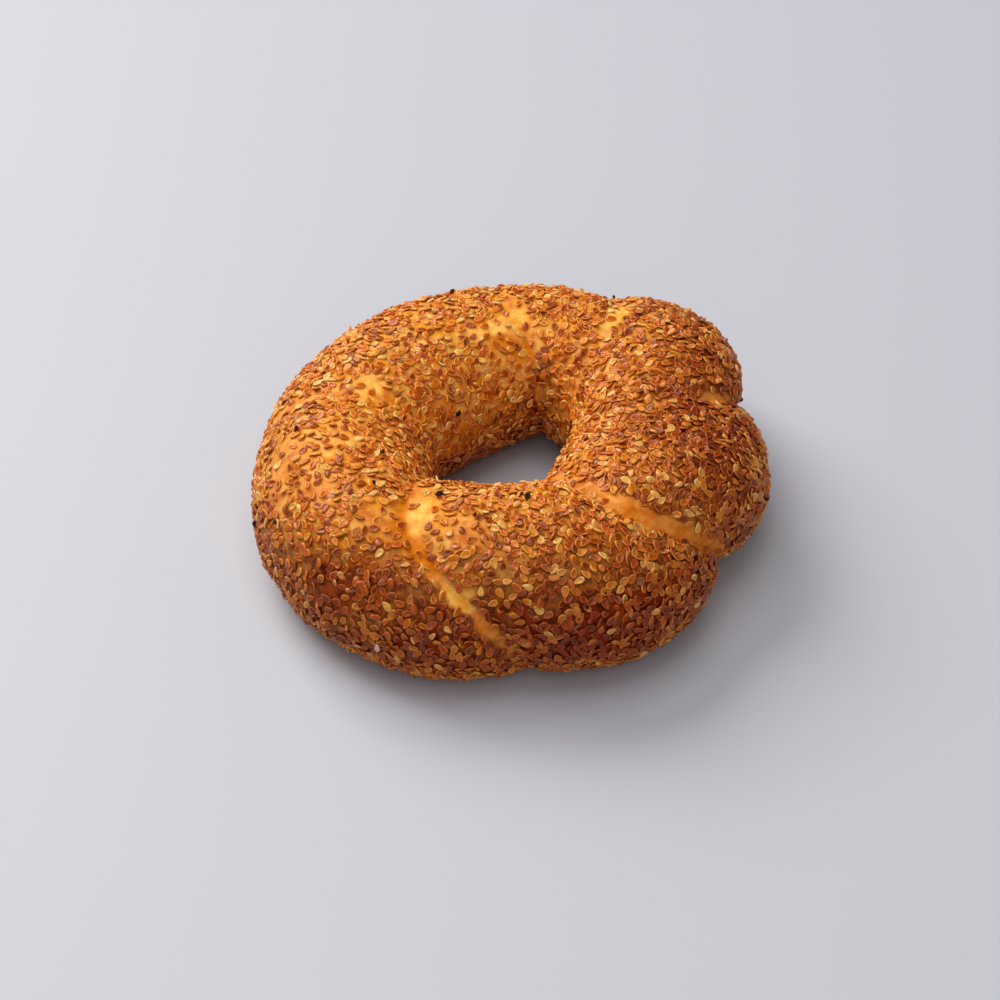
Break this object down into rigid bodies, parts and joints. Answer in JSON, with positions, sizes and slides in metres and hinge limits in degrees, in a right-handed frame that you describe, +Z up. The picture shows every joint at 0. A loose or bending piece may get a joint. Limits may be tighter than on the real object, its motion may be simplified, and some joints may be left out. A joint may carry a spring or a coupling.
{
  "type": "simit",
  "caption": "Twisted ring of baked bread with pillow-shaped lobes between spiral grooves, a hole in the middle and sesame seeds fused all over its crust.",
  "frame": {"origin": "middle of the ring's box, on the flat base that it rests on", "axes": "+Z up through the hole, front of the ring towards -Y"},
  "size_m": [0.1523, 0.1567, 0.0467],
  "materials": {
    "crust": "satin"
  },
  "bodies": {
    "root": {"simit": "crust"}
  },
  "joints": []
}
